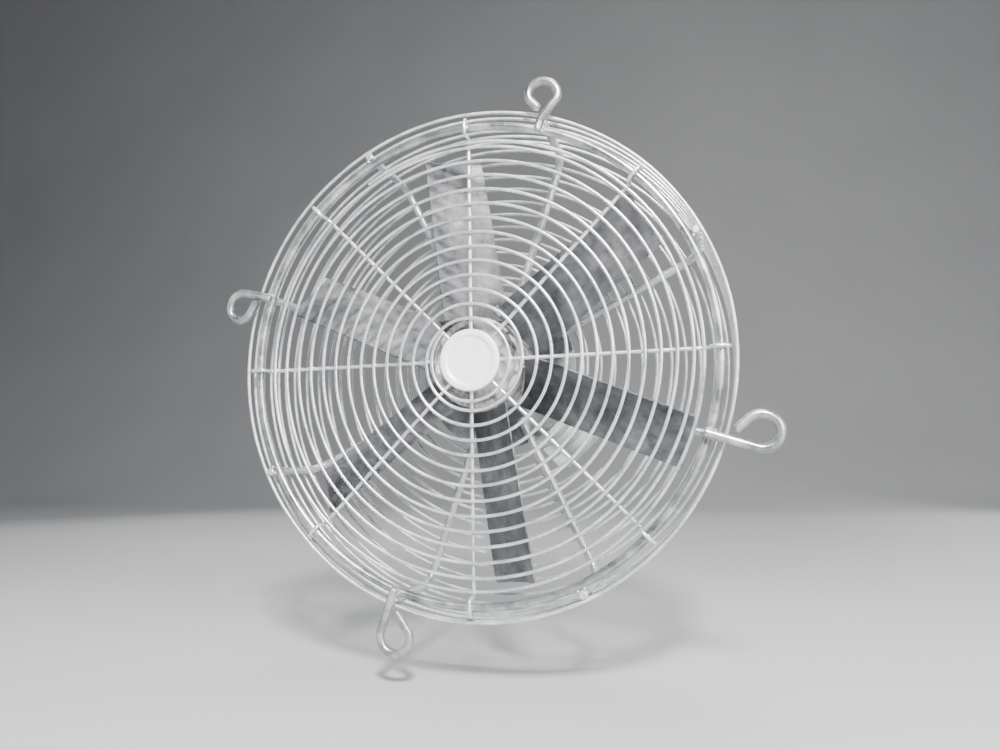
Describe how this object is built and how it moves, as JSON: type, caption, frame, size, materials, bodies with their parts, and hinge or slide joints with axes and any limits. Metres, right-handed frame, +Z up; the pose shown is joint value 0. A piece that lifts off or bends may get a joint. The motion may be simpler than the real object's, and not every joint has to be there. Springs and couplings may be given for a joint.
{
  "type": "basket fan",
  "caption": "Axial fan in a welded round wire basket, with sheet blades on a central motor, a terminal box behind and bent-rod eyes to hang it by.",
  "frame": {"origin": "middle of the upper hanging eye's loop", "axes": "the fan axis lies along Y, the air leaves towards -Y through the front guard, +Z is up"},
  "size_m": [0.558, 0.1536, 0.5554],
  "materials": {
    "wire_bright": "bright galvanised wire, smooth with small zinc beads at the welds",
    "wire_dull": "galvanised wire, slightly duller grey",
    "rod_zinc": "galvanised rod, mottled, with weld beads",
    "plate_zinc": "galvanised sheet, faint spangle",
    "badge_silver": "bright satin silver, plain",
    "blade_sheet": "mill-finish sheet, mottled satin, bright cut edges",
    "cast_alloy": "cast and turned alloy, satin",
    "screw_steel": "zinc-plated screws and clips",
    "laminate": "stacked electrical steel",
    "winding": "varnished copper winding",
    "box_plastic": "light grey-green moulded plastic, matt",
    "gland_plastic": "black moulded plastic",
    "lead_sheath": "black flexible sheath"
  },
  "bodies": {
    "basket": {"front_guard_spiral": "wire_bright", "front_guard_spoke_1": "wire_bright", "front_guard_spoke_2": "wire_bright", "front_guard_spoke_3": "wire_bright", "front_guard_spoke_4": "wire_bright", "front_guard_spoke_5": "wire_bright", "front_guard_spoke_6": "wire_bright", "front_guard_spoke_7": "wire_bright", "front_guard_spoke_8": "wire_bright", "guard_badge": "badge_silver", "main_ring": "rod_zinc", "basket_rib_1": "rod_zinc", "basket_rib_2": "rod_zinc", "basket_rib_3": "rod_zinc", "basket_rib_4": "rod_zinc", "basket_rib_5": "rod_zinc", "basket_rib_6": "rod_zinc", "basket_rib_7": "rod_zinc", "basket_rib_8": "rod_zinc", "hanging_eye_1": "rod_zinc", "hanging_eye_2": "rod_zinc", "hanging_eye_3": "rod_zinc", "hanging_eye_4": "rod_zinc", "rear_guard_side_coil": "wire_dull", "rear_guard_back_spiral": "wire_dull", "motor_plate": "plate_zinc", "stator_flange": "cast_alloy", "flange_bolt_1": "screw_steel", "flange_bolt_2": "screw_steel", "flange_bolt_3": "screw_steel", "flange_bolt_4": "screw_steel", "stator_core": "laminate", "stator_winding_front": "winding", "stator_winding_rear": "winding", "bearing_front": "screw_steel", "bearing_rear": "screw_steel", "terminal_box": "box_plastic", "terminal_box_lid": "box_plastic", "lid_screw_1": "screw_steel", "lid_screw_2": "screw_steel", "lid_screw_3": "screw_steel", "lid_screw_4": "screw_steel", "box_screw_1": "screw_steel", "box_screw_2": "screw_steel", "cable_gland": "gland_plastic", "motor_lead": "lead_sheath"},
    "impeller": {"shaft": "screw_steel", "rotor_shell": "cast_alloy", "rotor_cage": "laminate", "blade_1": "blade_sheet", "blade_2": "blade_sheet", "blade_3": "blade_sheet", "blade_4": "blade_sheet", "blade_5": "blade_sheet", "blade_6": "blade_sheet", "balance_clip": "screw_steel"}
  },
  "joints": [
    {"name": "impeller_spin", "type": "hinge", "parent": "basket", "child": "impeller", "pos_m": [-0.08195, 0.05955, -0.25459], "axis": [0, 1, 0], "continuous": true}
  ]
}
